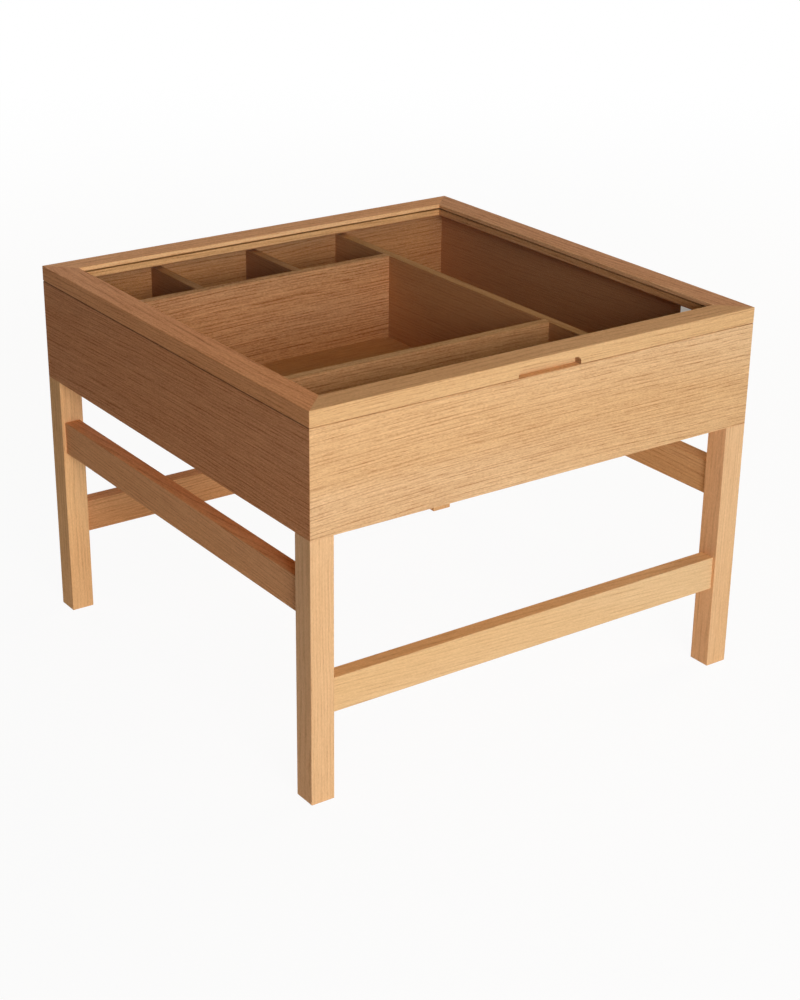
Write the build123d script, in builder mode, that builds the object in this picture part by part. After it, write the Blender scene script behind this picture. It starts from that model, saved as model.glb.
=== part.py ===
import os
from math import cos, radians, sin

from build123d import *

os.makedirs("parts", exist_ok=True)

# Square display table: a shallow box on four legs, closed by a hinged lid with a glass pane.
# Origin on the floor below the middle of the top, front towards -Y, all sizes in millimetres.

# Overall
table_width = 600.0
table_depth = 592.0
table_height = 450.0
edge_ease = 0.5

# Lid frame and pane
lid_thickness = 19.0
rail_width = 33.0
glass_thickness = 4.0
glass_lip = 6.0
glass_groove_depth = 8.0
glass_edge_gap = 1.0
glass_play = 1.2
underside_ease = 2.0
shadow_gap = 0.6
shadow_gap_depth = 2.5

# Finger pull in the front rail
pull_width = 85.0
pull_height = 9.5
pull_depth = 10.0
pull_corner = 6.4
pull_offset = 3.5

# Box walls and floor panel
box_height = 121.0
wall_thickness = 15.0
panel_thickness = 8.0
panel_recess = 2.0
panel_groove_depth = 4.5
panel_edge_gap = 0.5

# Dividers and the bays that they leave
divider_thickness = 12.0
divider_drop = 4.5
divider_ease = 0.4
housing_depth = 3.0
housing_end_gap = 0.3
right_bay_width = 160.5
back_bay_depth = 111.0
front_bay_depth = 121.0

# Mitre tongues
tongue_thickness = 3.0
box_tongue_width = 9.0
box_tongue_margin = 8.0
lid_tongue_width = 20.0
lid_tongue_length = 16.0
tongue_play = 0.1

# Legs and stretchers
leg_width = 29.0
leg_top_ease = 0.6
foot_ease = 0.6
stretcher_thickness = 20.0
stretcher_height = 40.8
low_stretcher_bottom = 102.7
high_stretcher_gap = 53.4
tenon_thickness = 9.0
tenon_length = 14.0
tenon_shoulder = 5.0
mortise_end_gap = 0.5

# Dowels between legs and box
dowel_diameter = 6.0
dowel_length = 32.0
dowel_inset = 6.5
dowel_setback = 22.0
dowel_play = 0.05
dowel_end_gap = 0.5

# Stop hinges
hinge_length = 50.0
hinge_setback = 95.0
knuckle_count = 5
knuckle_gap = 0.2
knuckle_wall = 1.2
pin_diameter = 3.0
pin_play = 0.05
pin_ease = 0.4
barrel_clearance = 0.3
leaf_thickness = 1.5
leaf_seat = 12.5
stop_angle = 95.0
stop_gap_angle = 0.4
stop_lip = 2.0
stop_spread = 52.0

# Wood screws of the hinges and the strike plate
screw_diameter = 2.8
screw_head_diameter = 5.2
screw_head_height = 1.3
screw_length = 12.0
screw_point = 3.0
screw_pitch = 30.0
screw_play = 0.1
screw_seat = 6.0

# Magnetic catch on the right wall
catch_length = 50.0
catch_height = 16.0
catch_depth = 14.0
catch_front_gap = 25.0
catch_ease = 1.0
catch_gap = 0.2
magnet_length = 22.0
magnet_width = 7.0
magnet_depth = 9.0
catch_screw_diameter = 3.0
catch_screw_head_diameter = 5.8
catch_screw_head_height = 1.6
catch_screw_length = 23.0
catch_screw_pitch = 36.0
strike_length = 38.0
strike_width = 12.0
strike_thickness = 1.2

# Heights and faces that follow
joint_height = table_height - lid_thickness
box_bottom = joint_height - box_height
high_stretcher_bottom = box_bottom - high_stretcher_gap - stretcher_height
panel_bottom = box_bottom + panel_recess
panel_top = panel_bottom + panel_thickness
divider_top = joint_height - divider_drop
divider_height = divider_top - panel_top
glass_top = table_height - glass_lip
glass_bottom = glass_top - glass_thickness
bay_x = table_width / 2 - wall_thickness
bay_y = table_depth / 2 - wall_thickness
side_names = ["front", "right", "back", "left"]


def save(piece, name):
    piece.part.label = name
    export_step(piece.part, f"parts/{name}.step")


# Corners of the plan, inset from the outer faces, from the front left one round to the back left one.
def corners(inset):
    x = table_width / 2 - inset
    y = table_depth / 2 - inset
    return [Vector(-x, -y), Vector(x, -y), Vector(x, y), Vector(-x, y)]


# Plan of one side of a mitred frame, with its outer corners eased.
def side_outline(side, thickness):
    after = (side + 1) % len(side_names)
    outer = corners(0)
    along = (outer[after] - outer[side]).normalized() * edge_ease
    eased = corners(edge_ease / 2)
    inner = corners(thickness)
    return [
        eased[side],
        outer[side] + along,
        outer[after] - along,
        eased[after],
        inner[after],
        inner[side],
    ]


# Long outer and inner edges of a frame side at one height.
def long_edges(piece, side, height):
    axis = Axis.X if side % 2 == 0 else Axis.Y
    edges = piece.edges().filter_by(axis)
    return edges.filter_by(lambda edge: abs(edge.center().Z - height) < edge_ease / 2)


# Middle and turn of each mitre, for frame sides of the given width.
def mitre_places(width, height):
    places = []
    for count, corner in enumerate(corners(width / 2)):
        turn = 45 + 90 * count
        places.append(Location((corner.X, corner.Y, height), (0, 0, turn)))
    return places


# Box that stands on its place.
def upright_box(size_x, size_y, size_z, mode=Mode.ADD):
    Box(size_x, size_y, size_z, align=(Align.CENTER, Align.CENTER, Align.MIN), mode=mode)


# Countersunk wood screw with its head's flat face on the XY plane and its point down.
def wood_screw(diameter, head_diameter, head_height, length):
    with BuildPart() as screw:
        with BuildSketch(Plane.XZ):
            with BuildLine():
                Polyline(
                    (0, 0),
                    (head_diameter / 2, 0),
                    (diameter / 2, -head_height),
                    (diameter / 2, screw_point - length),
                    (0, -length),
                    close=True,
                )
            make_face()
        revolve(axis=Axis.Z)
    return screw.part


# Round hole that takes a screw's shank, with its own end gap.
def pilot_hole(diameter, length):
    Cylinder(
        diameter / 2 + screw_play,
        length + screw_play,
        align=(Align.CENTER, Align.CENTER, Align.MAX),
        mode=Mode.SUBTRACT,
    )


# Copies of one solid at several places, as one group.
def save_group(solid, places, name):
    with BuildPart() as group:
        with Locations(*places):
            add(solid)
    save(group, name)


# Places of the dividers, with small bays of equal width between the left wall and the long divider
long_divider_left = bay_x - right_bay_width - divider_thickness
long_divider_x = long_divider_left + divider_thickness / 2
back_divider_front = bay_y - back_bay_depth - divider_thickness
back_divider_y = back_divider_front + divider_thickness / 2
front_divider_y = -bay_y + front_bay_depth + divider_thickness / 2
small_bay_width = (long_divider_left + bay_x - 2 * divider_thickness) / 3
small_divider_pitch = small_bay_width + divider_thickness
small_divider_x = [
    -bay_x + small_bay_width + divider_thickness / 2,
    -bay_x + small_bay_width + divider_thickness / 2 + small_divider_pitch,
]
cross_divider_y = [back_divider_y, front_divider_y]
cross_reach = housing_depth - housing_end_gap
cross_divider_length = long_divider_left + bay_x + 2 * cross_reach
cross_divider_x = (long_divider_left - bay_x) / 2
small_divider_length = back_bay_depth + 2 * cross_reach
small_divider_y = bay_y - back_bay_depth / 2

# Dividers, each housed at its ends in the wall or divider that it meets
with BuildPart() as divider_long:
    with Locations((long_divider_x, 0, panel_top)):
        upright_box(divider_thickness, 2 * (bay_y + cross_reach), divider_height)
    chamfer(divider_long.edges().group_by(Axis.Z)[-1].filter_by(Axis.Y), length=divider_ease)
    with Locations([(long_divider_left, y, panel_top) for y in cross_divider_y]):
        upright_box(2 * housing_depth, divider_thickness, divider_height, Mode.SUBTRACT)
save(divider_long, "divider_long")

for name, y in zip(["divider_back", "divider_front"], cross_divider_y):
    with BuildPart() as divider_cross:
        with Locations((cross_divider_x, y, panel_top)):
            upright_box(cross_divider_length, divider_thickness, divider_height)
        chamfer(divider_cross.edges().group_by(Axis.Z)[-1].filter_by(Axis.X), length=divider_ease)
        if y == back_divider_y:
            with Locations([(x, y + divider_thickness / 2, panel_top) for x in small_divider_x]):
                upright_box(divider_thickness, 2 * housing_depth, divider_height, Mode.SUBTRACT)
    save(divider_cross, name)

for name, x in zip(["divider_small_left", "divider_small_right"], small_divider_x):
    with BuildPart() as divider_small:
        with Locations((x, small_divider_y, panel_top)):
            upright_box(divider_thickness, small_divider_length, divider_height)
        chamfer(divider_small.edges().group_by(Axis.Z)[-1].filter_by(Axis.Y), length=divider_ease)
    save(divider_small, name)

# Floor panel of the box, loose in the grooves of the walls
with BuildPart() as panel:
    with Locations((0, 0, panel_bottom)):
        upright_box(
            2 * (bay_x + panel_groove_depth - panel_edge_gap),
            2 * (bay_y + panel_groove_depth - panel_edge_gap),
            panel_thickness,
        )
save(panel, "floor_panel")

# Dowels, two at the top of each leg, one in each of the walls that meet above it
dowel_x = table_width / 2 - dowel_inset
dowel_y = table_depth / 2 - dowel_inset
dowel_back_x = table_width / 2 - dowel_setback
dowel_back_y = table_depth / 2 - dowel_setback
dowel_places = []
for side_x in (-1, 1):
    for side_y in (-1, 1):
        dowel_places.append(Location((side_x * dowel_back_x, side_y * dowel_y, box_bottom)))
        dowel_places.append(Location((side_x * dowel_x, side_y * dowel_back_y, box_bottom)))

with BuildPart() as dowel:
    Cylinder(dowel_diameter / 2, dowel_length)
    chamfer(dowel.edges(), length=edge_ease)
save_group(dowel.part, dowel_places, "leg_dowels")


def dowel_holes():
    with Locations(*dowel_places):
        Cylinder(
            dowel_diameter / 2 + dowel_play,
            dowel_length + 2 * dowel_end_gap,
            mode=Mode.SUBTRACT,
        )


# Hinge and screw places on the back edge
barrel_radius = pin_diameter / 2 + knuckle_wall
barrel_offset = barrel_radius + barrel_clearance
hinge_y = table_depth / 2 + barrel_offset
hinge_x = table_width / 2 - hinge_setback
screw_y = table_depth / 2 - screw_seat
hinge_screw_places = []
for side_x in (-1, 1):
    for end in (-1, 1):
        screw_x = side_x * hinge_x + end * screw_pitch / 2
        hinge_screw_places.append(Location((screw_x, screw_y, joint_height)))
upward = Location((0, 0, 0), (180, 0, 0))
lid_screw_places = [place * upward for place in hinge_screw_places]


def leaf_mortises():
    with Locations((-hinge_x, table_depth / 2, joint_height), (hinge_x, table_depth / 2, joint_height)):
        Box(hinge_length, 2 * leaf_seat, 2 * leaf_thickness, mode=Mode.SUBTRACT)


# Catch places on the right wall
catch_top = joint_height - strike_thickness - catch_gap
catch_x = bay_x - catch_depth / 2
catch_y = -bay_y + catch_front_gap + catch_length / 2
catch_z = catch_top - catch_height / 2
catch_screw_places = []
for end in (-1, 1):
    place = Location((bay_x - catch_depth, catch_y + end * catch_screw_pitch / 2, catch_z), (0, -90, 0))
    catch_screw_places.append(place)
strike_bottom = joint_height - strike_thickness
strike_screw_place = Location((catch_x, catch_y, strike_bottom), (180, 0, 0))

# Box walls, mitred at the corners, grooved for the floor panel and housed for the dividers
wall_housings = {
    "front": [(long_divider_x, -bay_y)],
    "right": [],
    "back": [(x, bay_y) for x in small_divider_x + [long_divider_x]],
    "left": [(-bay_x, y) for y in cross_divider_y],
}
housing_sizes = {
    "front": (divider_thickness, 2 * housing_depth),
    "back": (divider_thickness, 2 * housing_depth),
    "left": (2 * housing_depth, divider_thickness),
}
box_tongue_height = box_height - panel_recess - panel_thickness - 2 * box_tongue_margin
box_tongue_places = mitre_places(wall_thickness, panel_top + box_tongue_margin)

for side, side_name in enumerate(side_names):
    with BuildPart() as wall:
        with BuildSketch(Plane.XY.offset(box_bottom)):
            Polygon(*side_outline(side, wall_thickness), align=None)
        extrude(amount=box_height)
        chamfer(long_edges(wall, side, joint_height), length=edge_ease)
        with Locations((0, 0, panel_bottom)):
            upright_box(
                2 * (bay_x + panel_groove_depth),
                2 * (bay_y + panel_groove_depth),
                panel_thickness,
                Mode.SUBTRACT,
            )
        for x, y in wall_housings[side_name]:
            with Locations((x, y, panel_top)):
                upright_box(*housing_sizes[side_name], divider_height, Mode.SUBTRACT)
        with Locations(*box_tongue_places):
            upright_box(
                tongue_thickness + 2 * tongue_play,
                box_tongue_width + 2 * tongue_play,
                box_tongue_height,
                Mode.SUBTRACT,
            )
        dowel_holes()
        if side_name == "back":
            leaf_mortises()
            with Locations(*hinge_screw_places):
                pilot_hole(screw_diameter, screw_length)
        if side_name == "right":
            with Locations(*catch_screw_places):
                pilot_hole(catch_screw_diameter, catch_screw_length)
    save(wall, f"wall_{side_name}")

with BuildPart() as box_tongue:
    upright_box(tongue_thickness, box_tongue_width, box_tongue_height)
save_group(box_tongue.part, box_tongue_places, "wall_tongues")

# Lid rails, mitred, grooved for the pane, rebated below for the shadow gap and eased on their long edges
lid_tongue_places = mitre_places(rail_width, joint_height + lid_thickness / 2)
pocket_x = table_width / 2 - rail_width + glass_groove_depth
pocket_y = table_depth / 2 - rail_width + glass_groove_depth

for side, side_name in enumerate(side_names):
    with BuildPart() as rail:
        with BuildSketch(Plane.XY.offset(joint_height)):
            Polygon(*side_outline(side, rail_width), align=None)
        extrude(amount=lid_thickness)
        with BuildSketch(Plane.XY.offset(joint_height)):
            Polygon(*corners(0), align=None)
            Polygon(*corners(shadow_gap_depth), align=None, mode=Mode.SUBTRACT)
        extrude(amount=shadow_gap, mode=Mode.SUBTRACT)
        chamfer(long_edges(rail, side, table_height), length=edge_ease)
        chamfer(long_edges(rail, side, joint_height).sort_by(SortBy.LENGTH)[0], length=underside_ease)
        lower_outer_edge = long_edges(rail, side, joint_height + shadow_gap).sort_by(SortBy.LENGTH)[-1]
        chamfer(lower_outer_edge, length=edge_ease)
        with Locations((0, 0, glass_bottom)):
            upright_box(2 * pocket_x, 2 * pocket_y, glass_thickness + glass_play, Mode.SUBTRACT)
        with Locations(*lid_tongue_places):
            Box(
                lid_tongue_length + 2 * tongue_play,
                lid_tongue_width + 2 * tongue_play,
                tongue_thickness,
                mode=Mode.SUBTRACT,
            )
        if side_name == "front":
            with BuildSketch(Plane.XZ.offset(table_depth / 2)):
                with Locations((pull_offset, joint_height)):
                    pull = Rectangle(pull_width, 2 * pull_height)
                fillet(pull.vertices(), pull_corner)
            extrude(amount=-pull_depth, mode=Mode.SUBTRACT)
        if side_name == "back":
            leaf_mortises()
            with Locations(*lid_screw_places):
                pilot_hole(screw_diameter, screw_length)
        if side_name == "right":
            with Locations(strike_screw_place):
                pilot_hole(screw_diameter, screw_length)
    save(rail, f"lid_rail_{side_name}")

with BuildPart() as lid_tongue:
    Box(lid_tongue_length, lid_tongue_width, tongue_thickness)
save_group(lid_tongue.part, lid_tongue_places, "lid_tongues")

# Glass pane, held by the groove on all four sides
with BuildPart() as glass:
    with Locations((0, 0, glass_bottom)):
        upright_box(
            2 * (pocket_x - glass_edge_gap),
            2 * (pocket_y - glass_edge_gap),
            glass_thickness,
        )
save(glass, "glass_pane")

# Legs, flush with the box corners
leg_x = (table_width - leg_width) / 2
leg_y = (table_depth - leg_width) / 2
inner_x = table_width / 2 - leg_width
inner_y = table_depth / 2 - leg_width
mortise_length = tenon_length + mortise_end_gap
tenon_height = stretcher_height - 2 * tenon_shoulder
leg_names = {(-1, -1): "front_left", (1, -1): "front_right", (1, 1): "back_right", (-1, 1): "back_left"}

for (side_x, side_y), leg_name in leg_names.items():
    with BuildPart() as leg:
        with BuildSketch():
            with Locations((side_x * leg_x, side_y * leg_y)):
                Rectangle(leg_width, leg_width)
        extrude(amount=box_bottom)
        chamfer(leg.edges().filter_by(Axis.Z), length=edge_ease)
        chamfer(leg.edges().group_by(Axis.Z)[0], length=foot_ease)
        chamfer(leg.edges().group_by(Axis.Z)[-1], length=leg_top_ease)
        with Locations((side_x * inner_x, side_y * leg_y, low_stretcher_bottom + tenon_shoulder)):
            upright_box(2 * mortise_length, tenon_thickness, tenon_height, Mode.SUBTRACT)
        with Locations((side_x * leg_x, side_y * inner_y, high_stretcher_bottom + tenon_shoulder)):
            upright_box(tenon_thickness, 2 * mortise_length, tenon_height, Mode.SUBTRACT)
        dowel_holes()
    save(leg, f"leg_{leg_name}")

# Stretchers, low at front and back, high at the sides, with a tenon at each end
for side, side_name in enumerate(side_names):
    runs_across = side % 2 == 0
    sign = 1 if side_name in ("right", "back") else -1
    place = (0, sign * leg_y) if runs_across else (sign * leg_x, 0)
    height = low_stretcher_bottom if runs_across else high_stretcher_bottom
    span = 2 * (inner_x if runs_across else inner_y)
    size = (span, stretcher_thickness) if runs_across else (stretcher_thickness, span)
    tenoned = span + 2 * tenon_length
    tenon_size = (tenoned, tenon_thickness) if runs_across else (tenon_thickness, tenoned)
    with BuildPart() as stretcher:
        with Locations((*place, height)):
            upright_box(*size, stretcher_height)
        chamfer(stretcher.edges().filter_by(Axis.X if runs_across else Axis.Y), length=edge_ease)
        with Locations((*place, height + tenon_shoulder)):
            upright_box(*tenon_size, tenon_height)
    save(stretcher, f"stretcher_{side_name}")

# Stop hinges: each leaf has a lip behind the barrel, and the lips meet when the lid stands open
knuckle_pitch = hinge_length / knuckle_count
lip_radius = barrel_radius + barrel_clearance + stop_lip
lip_start = (stop_angle + stop_gap_angle) / 2
lip_end = lip_start + stop_spread
wedge_reach = 2 * lip_radius


# Sector of a disc behind the barrel, above the joint for the lid leaf and below it for the box leaf.
def lip_sector(upper):
    turn = 1 if upper else -1
    Circle(lip_radius)
    points = [(0, 0)]
    for angle in (lip_start, lip_end):
        points.append((wedge_reach * cos(radians(angle)), turn * wedge_reach * sin(radians(angle))))
    Polygon(*points, align=None, mode=Mode.INTERSECT)


# Leaf about a hinge axis on X, with its knuckles at every second place from the first one given.
def hinge_leaf(first_knuckle, upper):
    leaf_side = Align.MIN if upper else Align.MAX
    other_knuckles = [k for k in range(knuckle_count) if k % 2 != first_knuckle]
    screw_turn = (180, 0, 0) if upper else (0, 0, 0)
    with BuildPart() as leaf:
        with BuildSketch(Plane.YZ.offset(-hinge_length / 2)):
            Rectangle(barrel_offset + leaf_seat, leaf_thickness, align=(Align.MAX, leaf_side))
            Circle(barrel_radius)
        extrude(amount=hinge_length)
        with BuildSketch(Plane.YZ.offset(-hinge_length / 2)):
            lip_sector(upper)
        extrude(amount=hinge_length)
        for k in other_knuckles:
            start = (k - knuckle_count / 2) * knuckle_pitch - knuckle_gap / 2
            with BuildSketch(Plane.YZ.offset(start)):
                Circle(barrel_radius + barrel_clearance)
            extrude(amount=knuckle_pitch + knuckle_gap, mode=Mode.SUBTRACT)
        with BuildSketch(Plane.YZ.offset(-hinge_length / 2)):
            Circle(pin_diameter / 2 + pin_play)
        extrude(amount=hinge_length, mode=Mode.SUBTRACT)
        for end in (-1, 1):
            with Locations(Location((end * screw_pitch / 2, -barrel_offset - screw_seat, 0), screw_turn)):
                CounterSinkHole(
                    radius=screw_diameter / 2 + screw_play,
                    counter_sink_radius=screw_head_diameter / 2 + screw_play,
                    depth=2 * leaf_thickness,
                )
    return leaf.part


with BuildPart() as hinge_pin:
    Cylinder(pin_diameter / 2, hinge_length, rotation=(0, 90, 0))
    chamfer(hinge_pin.edges().filter_by(GeomType.CIRCLE), length=pin_ease)

hinge_pieces = {
    "box_leaf": hinge_leaf(0, False),
    "lid_leaf": hinge_leaf(1, True),
    "pin": hinge_pin.part,
}
for hinge_name, side_x in (("left", -1), ("right", 1)):
    for piece_name, solid in hinge_pieces.items():
        place = Location((side_x * hinge_x, hinge_y, joint_height))
        save_group(solid, [place], f"hinge_{hinge_name}_{piece_name}")

small_screw = wood_screw(screw_diameter, screw_head_diameter, screw_head_height, screw_length)
save_group(small_screw, hinge_screw_places, "hinge_screws_box")
save_group(small_screw, lid_screw_places, "hinge_screws_lid")

# Magnetic catch: a housing with a magnet let into its top, and a strike plate under the lid rail
with BuildPart() as catch:
    with Locations((catch_x, catch_y, catch_z)):
        Box(catch_depth, catch_length, catch_height)
    outer_edges = catch.edges().filter_by(Axis.X, reverse=True).group_by(Axis.X)[0]
    fillet(outer_edges, catch_ease)
    with Locations((catch_x, catch_y, catch_top - magnet_depth)):
        upright_box(magnet_width, magnet_length, magnet_depth, Mode.SUBTRACT)
    with Locations(*catch_screw_places):
        CounterSinkHole(
            radius=catch_screw_diameter / 2 + screw_play,
            counter_sink_radius=catch_screw_head_diameter / 2 + screw_play,
            depth=catch_depth,
        )
save(catch, "catch_housing")

with BuildPart() as magnet:
    with Locations((catch_x, catch_y, catch_top - magnet_depth)):
        upright_box(magnet_width, magnet_length, magnet_depth)
save(magnet, "catch_magnet")

catch_screw = wood_screw(
    catch_screw_diameter,
    catch_screw_head_diameter,
    catch_screw_head_height,
    catch_screw_length,
)
save_group(catch_screw, catch_screw_places, "catch_screws")

with BuildPart() as strike:
    with Locations((catch_x, catch_y, strike_bottom)):
        upright_box(strike_width, strike_length, strike_thickness)
    chamfer(strike.edges().filter_by(Axis.Z), length=edge_ease)
    with Locations(strike_screw_place):
        CounterSinkHole(
            radius=screw_diameter / 2 + screw_play,
            counter_sink_radius=screw_head_diameter / 2 + screw_play,
            depth=strike_thickness,
        )
save(strike, "strike_plate")
save_group(small_screw, [strike_screw_place], "strike_screw")
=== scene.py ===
from math import cos, pi, radians, sin

import bmesh
import bpy
from mathutils import Matrix, Vector


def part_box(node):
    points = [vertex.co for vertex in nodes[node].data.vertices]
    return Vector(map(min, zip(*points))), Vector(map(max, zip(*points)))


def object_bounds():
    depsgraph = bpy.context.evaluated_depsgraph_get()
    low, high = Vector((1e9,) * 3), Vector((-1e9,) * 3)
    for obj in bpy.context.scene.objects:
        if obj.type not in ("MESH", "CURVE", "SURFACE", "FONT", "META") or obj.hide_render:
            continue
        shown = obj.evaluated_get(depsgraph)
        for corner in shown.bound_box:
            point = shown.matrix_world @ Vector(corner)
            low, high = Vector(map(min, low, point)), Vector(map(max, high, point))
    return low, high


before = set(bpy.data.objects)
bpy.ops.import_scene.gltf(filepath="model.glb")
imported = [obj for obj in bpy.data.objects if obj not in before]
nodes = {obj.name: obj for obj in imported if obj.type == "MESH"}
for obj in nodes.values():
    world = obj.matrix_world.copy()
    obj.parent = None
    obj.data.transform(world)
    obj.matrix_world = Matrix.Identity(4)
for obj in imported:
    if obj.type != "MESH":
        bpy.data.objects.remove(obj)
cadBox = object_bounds()
print("frame loaded:", len(nodes), "nodes")


# helpers for node trees

white = (1.0, 1.0, 1.0, 1.0)


def newMaterial(name):
    material = bpy.data.materials.new(name)
    material.use_nodes = True
    material.node_tree.nodes.clear()
    return material, material.node_tree


def addNode(tree, kind, inputs=None, **settings):
    node = tree.nodes.new(kind)
    for key, value in settings.items():
        setattr(node, key, value)
    for key, value in (inputs or {}).items():
        if isinstance(value, bpy.types.NodeSocket):
            tree.links.new(value, node.inputs[key])
        else:
            node.inputs[key].default_value = value
    return node


def calc(tree, operation, first, second=0.0, third=0.0, clamp=False):
    values = {0: first, 1: second, 2: third}
    return addNode(tree, "ShaderNodeMath", values, operation=operation, use_clamp=clamp).outputs[0]


def between(tree, value, low, high):  # 1 from low to high, and 0 elsewhere
    above = calc(tree, "GREATER_THAN", value, low)
    return calc(tree, "MULTIPLY", above, calc(tree, "LESS_THAN", value, high))


def stretched(tree, vector, scale, detail, roughness=0.5):  # noise drawn out by its own scale on each axis
    scaled = addNode(tree, "ShaderNodeVectorMath", {0: vector, 1: scale}, operation="MULTIPLY")
    noise = addNode(
        tree,
        "ShaderNodeTexNoise",
        {"Vector": scaled.outputs[0], "Scale": 1.0, "Detail": detail, "Roughness": roughness},
    )
    return noise.outputs["Fac"]


def remap(tree, value, fromLow, fromHigh, toLow=0.0, toHigh=1.0, kind="LINEAR"):
    node = addNode(
        tree,
        "ShaderNodeMapRange",
        {0: value, 1: fromLow, 2: fromHigh, 3: toLow, 4: toHigh},
        interpolation_type=kind,
    )
    return node.outputs[0]


def blendColour(tree, factor, first, second, blend="MIX"):
    node = addNode(tree, "ShaderNodeMix", data_type="RGBA", blend_type=blend)
    for socket, value in ((node.inputs[0], factor), (node.inputs[6], first), (node.inputs[7], second)):
        if isinstance(value, bpy.types.NodeSocket):
            tree.links.new(value, socket)
        else:
            socket.default_value = value
    return node.outputs[2]


# camera, at the photograph's place

cameraView = {
    "azimuth": -34.231,  # degrees from the front, negative to the left
    "elevation": 23.848,
    "roll": 0.231,
    "aim": (-0.1515, -0.1669, 0.25),
    "distance": 2.1991,
    "focal": 71.69,  # mm
    "filmSide": 36.0,  # mm, the long side
    "shift": (0.04, 0.02),
    "clip": (0.05, 60.0),
}


def aimedAt(target, azimuth, elevation, distance):  # a place that far off, looking back at the target
    turn, rise = radians(azimuth), radians(elevation)
    back = Vector((sin(turn) * cos(rise), -cos(turn) * cos(rise), sin(rise)))
    facing = (-back).to_track_quat("-Z", "Y").to_matrix().to_4x4()
    return Matrix.Translation(Vector(target) + back * distance) @ facing


def makeCamera(look):
    data = bpy.data.cameras.new("tableCamera")
    camera = bpy.data.objects.new("tableCamera", data)
    bpy.context.scene.collection.objects.link(camera)
    place = aimedAt(look["aim"], look["azimuth"], look["elevation"], look["distance"])
    camera.matrix_world = place @ Matrix.Rotation(radians(look["roll"]), 4, "Z")
    data.lens = look["focal"]
    data.sensor_width = look["filmSide"]
    data.shift_x, data.shift_y = look["shift"]
    data.clip_start, data.clip_end = look["clip"]
    bpy.context.scene.camera = camera


makeCamera(cameraView)
print("camera made")


# oak, oiled on the box and satin lacquered on the lid

oakLook = {
    "pale": (0.87, 0.547, 0.277, 1.0),
    "streak": (0.425, 0.187, 0.068, 1.0),
    "warm": (0.98, 0.93, 0.84, 1.0),  # where a board turns warmer
    "level": 0.69,  # share of the pale colour in plain wood
    "bow": 0.016,  # metres that the growth rings stray along a board
    "ringWidth": 0.0038,
    "ringStray": {"slow": 3.2, "quick": 0.8},  # ring widths
    "ringThin": 4.0,  # a higher power draws thinner lines
    "ringDark": 0.42,
    "poreDark": 0.30,
    "endGrain": 0.55,  # brightness of the cut ends beside the faces
    "roughness": (0.67, 0.55),  # in the dark lines and in the pale wood
    "shine": {"oak_box": 0.08, "oak_lid": 0.2, "beech_joints": 0.08},
    "relief": 0.3,
    "reliefDepth": 0.00025,
}
# noises in the wood: repeats per metre along the board, round and out from the heart, detail and roughness
oakNoises = {
    "bow": ((2.2, 3.0, 3.0), 1.0),
    "slow": ((1.6, 6.0, 60.0), 2.0),
    "quick": ((14.0, 20.0, 40.0), 1.0),
    "breaks": ((20.0, 70.0, 300.0), 3.0, 0.65),
    "pores": ((75.0, 420.0, 1400.0), 1.0),
    "warmth": ((1.8, 5.0, 14.0), 1.0),
}
# fibres of each length, given the same way, and their strength
oakFibres = {
    "long": (((10.0, 150.0, 760.0), 2.0, 0.6), 0.70),
    "short": (((42.0, 260.0, 1200.0), 2.0, 0.6), 0.58),
    "fleck": (((320.0, 400.0, 1600.0), 1.0, 0.6), 0.90),
    "cloud": (((2.4, 9.0, 22.0), 2.0, 0.6), 0.18),
}
# where each part of the pattern starts and is full
oakLevels = {
    "breaks": (0.36, 0.62),
    "pores": (0.58, 0.72),
    "poresOnLines": (0.0, 0.4, 0.35, 1.0),  # in plain wood the pores are a third as strong
    "warmth": (0.35, 0.65),
    "cutEnd": (0.8, 0.95),  # how squarely a face cuts the grain
    "roughness": (0.4, 0.9),
}
seedSteps = ((0.73, 0.41, 0.29), (0.37, 0.59, 0.83))  # metres that each seed moves the pattern by


def moved(tree, vector, seed, steps):  # gives each board its own part of the pattern
    shift = tuple(step * seed for step in steps)
    return addNode(tree, "ShaderNodeVectorMath", {0: vector, 1: shift}).outputs[0]


def grainSpace(tree, coordinates, along, seed, slope, ringTurn, arch):  # rings arch and stray along the board
    lengthwise = {"X": (0, 0, 0), "Y": (0, 0, -pi / 2), "Z": (0, pi / 2, 0)}[along]
    laid = addNode(tree, "ShaderNodeMapping", {"Vector": coordinates, "Rotation": lengthwise}).outputs[0]
    sawn = (radians(ringTurn), radians(slope), radians(slope))
    tilted = addNode(tree, "ShaderNodeMapping", {"Vector": laid, "Rotation": sawn}).outputs[0]
    place = addNode(tree, "ShaderNodeSeparateXYZ", {0: tilted}).outputs
    bow = stretched(tree, moved(tree, tilted, seed, seedSteps[0]), *oakNoises["bow"])
    bow = calc(tree, "MULTIPLY", bow, oakLook["bow"])
    arched = calc(tree, "MULTIPLY", calc(tree, "MULTIPLY", place[0], place[0]), arch)
    outwards = calc(tree, "ADD", place[2], calc(tree, "ADD", bow, arched))
    grain = addNode(tree, "ShaderNodeCombineXYZ", {0: place[0], 1: place[1], 2: outwards}).outputs[0]
    return moved(tree, grain, seed, seedSteps[1]), outwards


def darkLines(tree, grain, outwards):  # open early wood, uneven in spacing, strength and length
    ring = calc(tree, "DIVIDE", outwards, oakLook["ringWidth"])
    for name, stray in oakLook["ringStray"].items():
        noise = stretched(tree, grain, *oakNoises[name])
        ring = calc(tree, "ADD", ring, calc(tree, "MULTIPLY", noise, stray))
    wave = calc(tree, "COSINE", calc(tree, "MULTIPLY", ring, 2 * pi))
    wave = calc(tree, "POWER", calc(tree, "MULTIPLY_ADD", wave, 0.5, 0.5), oakLook["ringThin"])
    breaks = stretched(tree, grain, *oakNoises["breaks"])
    return calc(tree, "MULTIPLY", wave, remap(tree, breaks, *oakLevels["breaks"]))


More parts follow.
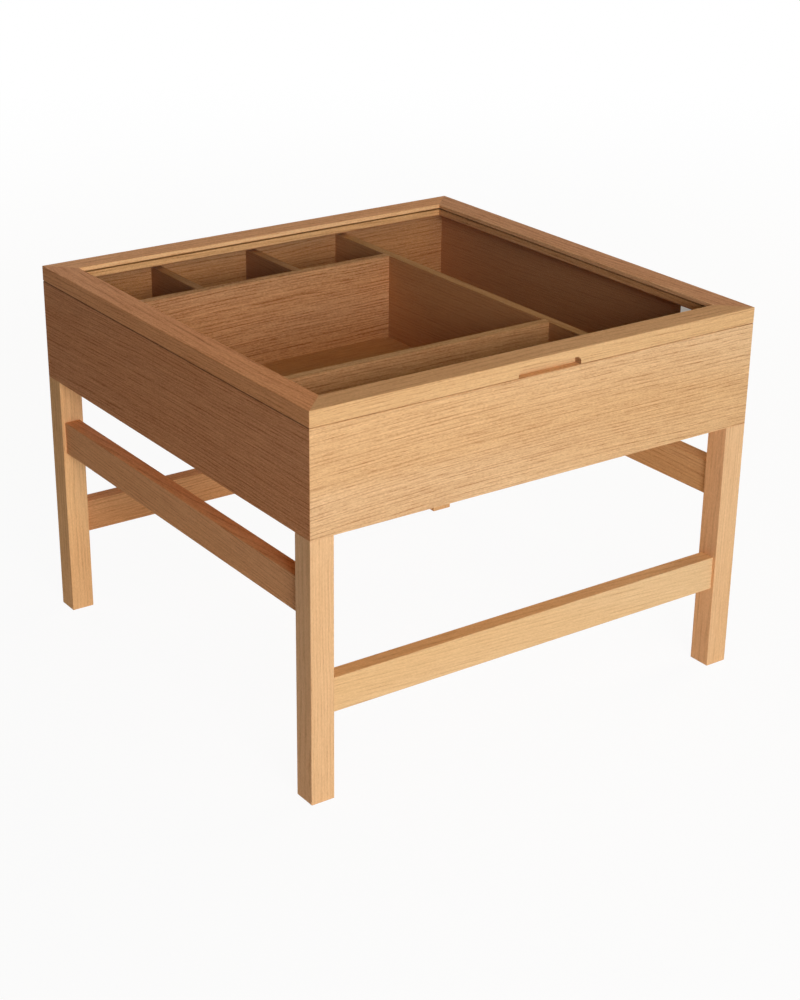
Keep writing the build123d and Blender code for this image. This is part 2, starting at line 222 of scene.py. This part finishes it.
def woodShade(tree, grain, lines, figure):  # 0 in the darkest streaks, 1 in the palest wood
    shade = calc(tree, "MULTIPLY", lines, -oakLook["ringDark"] * figure)
    for noise, strength in oakFibres.values():
        fibre = calc(tree, "SUBTRACT", stretched(tree, grain, *noise), 0.5)
        shade = calc(tree, "ADD", shade, calc(tree, "MULTIPLY", fibre, strength * figure))
    pores = remap(tree, stretched(tree, grain, *oakNoises["pores"]), *oakLevels["pores"])
    pores = calc(tree, "MULTIPLY", pores, remap(tree, lines, *oakLevels["poresOnLines"]))
    shade = calc(tree, "SUBTRACT", shade, calc(tree, "MULTIPLY", pores, oakLook["poreDark"] * figure))
    return calc(tree, "ADD", shade, oakLook["level"], clamp=True)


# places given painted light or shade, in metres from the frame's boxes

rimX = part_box("lid_rail_right")[0][0]  # the inner edges of the lid's rails
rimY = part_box("lid_rail_back")[0][1]
paneLow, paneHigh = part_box("glass_pane")
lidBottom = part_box("lid_rail_left")[0][2]
boxSide = cadBox[1][0]

# painted shade: the groove round the pane is coloured near black, so that it shows as a dark shadow line
# above the glass
paneGrooveShade = {"fromRim": 0.0003, "fromFoot": 0.0002, "pastPane": 0.0017, "colour": (0.03, 0.014, 0.007, 1.0)}
# painted light: the rails' inner faces are made paler than their tops, for the light that falls on them
paintedLitLip = {"pastRim": 0.0007, "tint": (1.25, 1.5, 1.65, 1.0)}
# painted shade: the two eased edges along the gap between lid and box, left and right, are darkened for the
# shadow in the gap
gapShade = {"inwards": 0.0015, "below": 0.0007, "above": 0.0012, "dark": 0.38}


def fromMiddle(tree, coordinates):  # how far a point lies to the side, how far to front or back, and how high
    place = addNode(tree, "ShaderNodeSeparateXYZ", {0: coordinates}).outputs
    return calc(tree, "ABSOLUTE", place[0]), calc(tree, "ABSOLUTE", place[1]), place[2]


def inPlan(tree, side, depth, halfWidth, halfDepth):  # 1 inside an upright box round the middle
    inside = calc(tree, "LESS_THAN", side, halfWidth)
    return calc(tree, "MULTIPLY", inside, calc(tree, "LESS_THAN", depth, halfDepth))


def insideGroove(tree, coordinates, look):
    side, depth, height = fromMiddle(tree, coordinates)
    opening = inPlan(tree, side, depth, rimX + look["fromRim"], rimY + look["fromRim"])
    pocket = inPlan(tree, side, depth, paneHigh[0] + look["pastPane"], paneHigh[1] + look["pastPane"])
    level = between(tree, height, paneLow[2] + look["fromFoot"], paneHigh[2] + look["pastPane"])
    return calc(tree, "MULTIPLY", calc(tree, "SUBTRACT", pocket, opening), level)


def onLip(tree, coordinates, look):
    side, depth, _ = fromMiddle(tree, coordinates)
    return inPlan(tree, side, depth, rimX + look["pastRim"], rimY + look["pastRim"])


def besideGap(tree, coordinates, look):
    side, _, height = fromMiddle(tree, coordinates)
    outside = calc(tree, "GREATER_THAN", side, boxSide - look["inwards"])
    level = between(tree, height, lidBottom - look["below"], lidBottom + look["above"])
    return calc(tree, "MULTIPLY", outside, level)


def oakMaterial(name, slotName, along, seed, slope, ringTurn, figure, arch=0.0, tint=(1.0, 1.0, 1.0)):
    material, tree = newMaterial(name)
    source = addNode(tree, "ShaderNodeTexCoord").outputs
    coordinates = source["Object"]
    grain, outwards = grainSpace(tree, coordinates, along, seed, slope, ringTurn, arch)
    lines = darkLines(tree, grain, outwards)
    shade = woodShade(tree, grain, lines, figure)

    colour = blendColour(tree, shade, oakLook["streak"], oakLook["pale"])
    warmth = remap(tree, stretched(tree, grain, *oakNoises["warmth"]), *oakLevels["warmth"])
    colour = blendColour(tree, warmth, colour, oakLook["warm"], "MULTIPLY")
    # the tint is partly the board's own tone and partly painted light and shade
    colour = blendColour(tree, 1.0, colour, (*tint, 1.0), "MULTIPLY")
    facing = addNode(tree, "ShaderNodeSeparateXYZ", {0: source["Normal"]}).outputs[along]
    cutEnd = remap(tree, calc(tree, "ABSOLUTE", facing), *oakLevels["cutEnd"], 1.0, oakLook["endGrain"])
    colour = blendColour(tree, 1.0, colour, cutEnd, "MULTIPLY")
    if slotName == "oak_lid":
        # painted light on the rails' inner faces
        colour = blendColour(tree, onLip(tree, coordinates, paintedLitLip), colour, paintedLitLip["tint"], "MULTIPLY")
        # painted shade in the groove round the pane
        colour = blendColour(tree, insideGroove(tree, coordinates, paneGrooveShade), colour, paneGrooveShade["colour"])
    if along == "Y":
        # painted shade along the gap between lid and box
        gapShaded = calc(tree, "MULTIPLY", besideGap(tree, coordinates, gapShade), -gapShade["dark"])
        colour = blendColour(tree, 1.0, colour, calc(tree, "ADD", gapShaded, 1.0), "MULTIPLY")

    relief = {"Height": shade, "Strength": oakLook["relief"], "Distance": oakLook["reliefDepth"]}
    shader = addNode(
        tree,
        "ShaderNodeBsdfPrincipled",
        {
            "Base Color": colour,
            "Roughness": remap(tree, shade, *oakLevels["roughness"], *oakLook["roughness"]),
            "Specular IOR Level": oakLook["shine"][slotName],
            "Normal": addNode(tree, "ShaderNodeBump", relief).outputs[0],
        },
    )
    addNode(tree, "ShaderNodeOutputMaterial", {"Surface": shader.outputs[0]})
    return material


def dress(name, material):
    node = nodes[name]
    if not node.material_slots:
        node.data.materials.append(material)
    for slot in node.material_slots:
        slot.material = material


# each board: the way its grain runs, its seed, slope and turn of the rings in degrees, strength of figure,
# arch of the rings, tint; the tints are partly the boards' own tone and partly painted light and shade,
# darker on the boards inside the box and on the left, lighter on the legs and the back rail
boxBoards = {
    "wall_front": ("X", 3, 0.8, 20.0, 1.0, 0.05, (0.97, 0.98, 1.03)),
    "wall_right": ("Y", 5, -0.6, 20.0, 0.6, 0.02, (0.79, 0.73, 0.73)),
    "wall_back": ("X", 8, 0.5, 25.0, 1.2, -0.02, (0.84, 0.78, 0.74)),
    "wall_left": ("Y", 11, -0.7, 22.0, 1.2, 0.03, (0.83, 0.63, 0.57)),
    "floor_panel": ("X", 14, 0.4, 75.0, 0.9, 0.02, (0.88, 0.84, 0.80)),
    "divider_long": ("Y", 17, 0.6, 20.0, 0.65, 0.02, (0.83, 0.78, 0.72)),
    "divider_back": ("X", 19, 1.4, 15.0, 1.6, 0.02, (0.97, 0.96, 1.07)),
    "divider_front": ("X", 23, -0.5, 20.0, 1.2, 0.02, (0.98, 1.01, 1.10)),
    "divider_small_left": ("Y", 26, 0.5, 20.0, 0.7, 0.02, (0.61, 0.56, 0.55)),
    "divider_small_right": ("Y", 28, 0.7, 20.0, 0.7, 0.02, (0.61, 0.54, 0.52)),
    "leg_front_left": ("Z", 31, 0.5, 25.0, 0.55, 0.01, (1.05, 1.08, 1.20)),
    "leg_front_right": ("Z", 34, -0.5, 30.0, 0.55, 0.01, (1.06, 1.08, 1.19)),
    "leg_back_right": ("Z", 37, 0.6, 25.0, 0.6, 0.01, (1.12, 1.14, 1.18)),
    "leg_back_left": ("Z", 40, -0.4, 30.0, 0.6, 0.01, (1.17, 1.20, 1.22)),
    "stretcher_front": ("X", 43, -2.4, 25.0, 0.55, 0.0, (1.05, 1.11, 1.15)),
    "stretcher_right": ("Y", 46, 1.8, 25.0, 0.8, 0.0, (0.91, 0.90, 0.84)),
    "stretcher_back": ("X", 49, 1.5, 25.0, 0.9, 0.0, (0.84, 0.68, 0.58)),
    "stretcher_left": ("Y", 52, 2.2, 25.0, 0.85, 0.0, (1.06, 0.91, 0.87)),
}
lidBoards = {
    "lid_rail_front": ("X", 55, 0.5, 22.0, 0.7, 0.03, (0.94, 0.91, 0.84)),
    "lid_rail_right": ("Y", 58, 0.6, 25.0, 1.0, 0.02, (0.875, 0.75, 0.745)),
    "lid_rail_back": ("X", 61, -0.6, 25.0, 0.9, 0.02, (1.11, 0.99, 0.97)),
    "lid_rail_left": ("Y", 64, -0.5, 25.0, 0.95, 0.03, (0.91, 0.68, 0.52)),
}
# dowels and tongues, hidden in the joints, are plain beech
beechJoints = {
    "leg_dowels": ("Z", 71, 0.3, 30.0, 0.5),
    "wall_tongues": ("Z", 74, 0.3, 30.0, 0.5),
    "lid_tongues": ("X", 77, 0.3, 30.0, 0.5),
}
woods = (("oak", boxBoards, "oak_box"), ("oak", lidBoards, "oak_lid"), ("beech", beechJoints, "beech_joints"))
for wood, pieces, slotName in woods:
    for name, settings in pieces.items():
        dress(name, oakMaterial(f"{wood}_{name}", slotName, *settings))
print("oak and beech made")


# the pane is clear float glass, which lamps light through

glassLook = {
    "tint": (0.95, 0.955, 0.945, 1.0),
    "lit": (0.925, 0.91, 0.88, 1.0),  # what each face lets through of the lamps
    "ior": 1.5,
    "gleam": 0.04,
    "grazing": 0.1,
}


def glassMaterial(look):
    material, tree = newMaterial("clear_glass")
    through = {"Color": look["tint"], "Roughness": 0.0, "IOR": look["ior"]}
    clear = addNode(tree, "ShaderNodeBsdfRefraction", through)
    gleam = addNode(tree, "ShaderNodeBsdfGlossy", {"Color": white, "Roughness": 0.0})
    edge = addNode(tree, "ShaderNodeLayerWeight", {"Blend": look["grazing"]})
    share = calc(tree, "MULTIPLY", edge.outputs["Fresnel"], look["gleam"])
    pane = addNode(tree, "ShaderNodeMixShader", {0: share, 1: clear.outputs[0], 2: gleam.outputs[0]})
    clearPath = addNode(tree, "ShaderNodeBsdfTransparent", {"Color": look["lit"]})
    path = addNode(tree, "ShaderNodeLightPath")
    lit = calc(tree, "MAXIMUM", path.outputs["Is Shadow Ray"], path.outputs["Is Diffuse Ray"])
    surface = addNode(tree, "ShaderNodeMixShader", {0: lit, 1: pane.outputs[0], 2: clearPath.outputs[0]})
    addNode(tree, "ShaderNodeOutputMaterial", {"Surface": surface.outputs[0]})
    return material


dress("glass_pane", glassMaterial(glassLook))


# metal and plastic: fine grain in the gloss, and soft clouds in the colour

metalFinish = {
    "metallic": 1.0,
    "grain": ((60.0, 2600.0, 2600.0), 2.0),  # repeats per metre and detail
    "cloud": ((90.0, 90.0, 90.0), 3.0),
    "cloudLevels": (0.35, 0.8, 0.0, 0.6),
    "relief": 0.2,
    "reliefDepth": 0.00005,
    "paintedGlow": 0.0,
}
hardLooks = {
    "satin_brass": {
        **metalFinish,
        "colour": (0.72, 0.50, 0.22, 1.0),
        "deep": (0.50, 0.32, 0.13, 1.0),
        "roughness": (0.26, 0.42),
    },
    "satin_steel": {
        **metalFinish,
        "colour": (0.62, 0.62, 0.61, 1.0),
        "deep": (0.42, 0.42, 0.42, 1.0),
        "roughness": (0.24, 0.40),
    },
    "moulded_plastic": {
        "metallic": 0.0,
        "grain": ((2200.0, 2200.0, 2200.0), 2.0),
        "cloud": ((70.0, 70.0, 70.0), 2.0),
        "cloudLevels": (0.3, 0.7, 0.0, 1.0),
        "relief": 0.25,
        "reliefDepth": 0.00004,
        "paintedGlow": 0.33,  # painted light: the milky plastic glows faintly, though no lamp is inside it
        "colour": (0.88, 0.87, 0.84, 1.0),
        "deep": (0.80, 0.79, 0.76, 1.0),
        "roughness": (0.35, 0.45),
    },
}
grainLevels = (0.3, 0.7)  # where the fine grain starts and is full


def hardMaterial(name, look):
    material, tree = newMaterial(name)
    coordinates = addNode(tree, "ShaderNodeTexCoord").outputs["Object"]
    grain = stretched(tree, coordinates, *look["grain"])
    cloud = remap(tree, stretched(tree, coordinates, *look["cloud"]), *look["cloudLevels"])
    relief = {"Height": grain, "Strength": look["relief"], "Distance": look["reliefDepth"]}
    shader = addNode(
        tree,
        "ShaderNodeBsdfPrincipled",
        {
            "Base Color": blendColour(tree, cloud, look["colour"], look["deep"]),
            "Metallic": look["metallic"],
            "Roughness": remap(tree, grain, *grainLevels, *look["roughness"]),
            "Normal": addNode(tree, "ShaderNodeBump", relief).outputs[0],
            "Emission Color": look["colour"],
            # painted light: the plastic's faint glow
            "Emission Strength": look["paintedGlow"],
        },
    )
    addNode(tree, "ShaderNodeOutputMaterial", {"Surface": shader.outputs[0]})
    return material


hardMaterials = {name: hardMaterial(name, look) for name, look in hardLooks.items()}
for name in nodes:
    if name.startswith("hinge_"):
        dress(name, hardMaterials["satin_brass"])
for name in ("catch_magnet", "catch_screws", "strike_plate", "strike_screw"):
    dress(name, hardMaterials["satin_steel"])
dress("catch_housing", hardMaterials["moulded_plastic"])
print("glass, metal and plastic made")


# floor, world and lamps

stageLook = {
    "floorSize": 24.0,
    "floorSquares": 8,
    "floorColour": (0.80, 0.80, 0.80, 1.0),
    "shadowShare": 0.06,  # how much of the lit floor, and so of the shadow, the camera sees
    "shadowReach": (1.2, 3.5),  # metres from the middle where it fades to plain white
    "bounce": (1.0, 0.9, 0.8, 1.0),  # light that the bright paper round the table sends up
    "bounceStrength": 0.2,
    "bounceReach": (0.35, 1.3),  # metres from the middle where it starts and ends to fade
}


def whiteForCamera(tree):  # 1 for rays that show the background itself
    path = addNode(tree, "ShaderNodeLightPath")
    seen = calc(tree, "MAXIMUM", path.outputs["Is Camera Ray"], path.outputs["Is Glossy Ray"])
    return calc(tree, "MAXIMUM", seen, path.outputs["Is Transmission Ray"])


def floorMaterial(look):
    material, tree = newMaterial("floor_paper")
    coordinates = addNode(tree, "ShaderNodeTexCoord").outputs["Object"]
    away = addNode(tree, "ShaderNodeVectorMath", {0: coordinates}, operation="LENGTH").outputs["Value"]
    seen = whiteForCamera(tree)
    near = remap(tree, away, *look["bounceReach"], look["bounceStrength"], 0.0, kind="SMOOTHSTEP")
    near = calc(tree, "MULTIPLY", near, calc(tree, "SUBTRACT", 1.0, seen))
    bounce = addNode(tree, "ShaderNodeEmission", {"Color": look["bounce"], "Strength": near})
    paper = addNode(tree, "ShaderNodeBsdfDiffuse", {"Color": look["floorColour"]})
    lit = addNode(tree, "ShaderNodeAddShader", {0: paper.outputs[0], 1: bounce.outputs[0]})
    shadow = remap(tree, away, *look["shadowReach"], look["shadowShare"], 0.0, kind="SMOOTHSTEP")
    share = calc(tree, "MULTIPLY", seen, calc(tree, "SUBTRACT", 1.0, shadow))
    plain = addNode(tree, "ShaderNodeEmission", {"Color": white, "Strength": 1.0})
    surface = addNode(tree, "ShaderNodeMixShader", {0: share, 1: lit.outputs[0], 2: plain.outputs[0]})
    addNode(tree, "ShaderNodeOutputMaterial", {"Surface": surface.outputs[0]})
    return material


def makeFloor(look):
    mesh = bpy.data.meshes.new("studioFloor")
    shape = bmesh.new()
    squares = look["floorSquares"]
    bmesh.ops.create_grid(shape, x_segments=squares, y_segments=squares, size=look["floorSize"] / 2)
    shape.to_mesh(mesh)
    shape.free()
    mesh.materials.append(floorMaterial(look))
    floor = bpy.data.objects.new("studioFloor", mesh)
    bpy.context.scene.collection.objects.link(floor)


def makeWorld():  # white to the camera, and dark to the table, which the lamps light
    world = bpy.data.worlds.new("studioWorld")
    bpy.context.scene.world = world
    world.use_nodes = True
    tree = world.node_tree
    tree.nodes.clear()
    paper = addNode(tree, "ShaderNodeBackground", {"Color": white, "Strength": whiteForCamera(tree)})
    addNode(tree, "ShaderNodeOutputWorld", {"Surface": paper.outputs[0]})


lampAim = (0.0, 0.0, 0.3)
# each lamp: azimuth and elevation in degrees as for the camera, distance, width, height, watts, colour
lamps = {
    "frontLow": (0.0, 3.0, 3.0, 2.4, 0.6, 32.5, (0.36, 0.75, 1.0)),
    "frontSoftbox": (-17.0, 18.0, 3.0, 1.1, 0.9, 44.6, (1.0, 0.90, 0.91)),
    "frontHigh": (0.0, 45.0, 3.0, 1.5, 1.5, 13.8, (1.0, 0.74, 0.33)),
    "rightFill": (90.0, 15.0, 3.0, 1.5, 1.2, 45.0, (1.0, 0.85, 0.62)),
    "backFill": (180.0, 20.0, 3.0, 1.5, 1.2, 19.0, (1.0, 0.85, 0.65)),
}


def makeLamp(name, azimuth, elevation, distance, width, height, watts, colour):
    data = bpy.data.lights.new(name, "AREA")
    data.shape = "RECTANGLE"
    data.size, data.size_y = width, height
    data.energy = watts
    data.color = colour
    lamp = bpy.data.objects.new(name, data)
    bpy.context.scene.collection.objects.link(lamp)
    lamp.matrix_world = aimedAt(lampAim, azimuth, elevation, distance)
    lamp.visible_camera = False


makeFloor(stageLook)
makeWorld()
for name, settings in lamps.items():
    makeLamp(name, *settings)
bpy.context.scene.view_settings.view_transform = "Standard"
print("stage made")
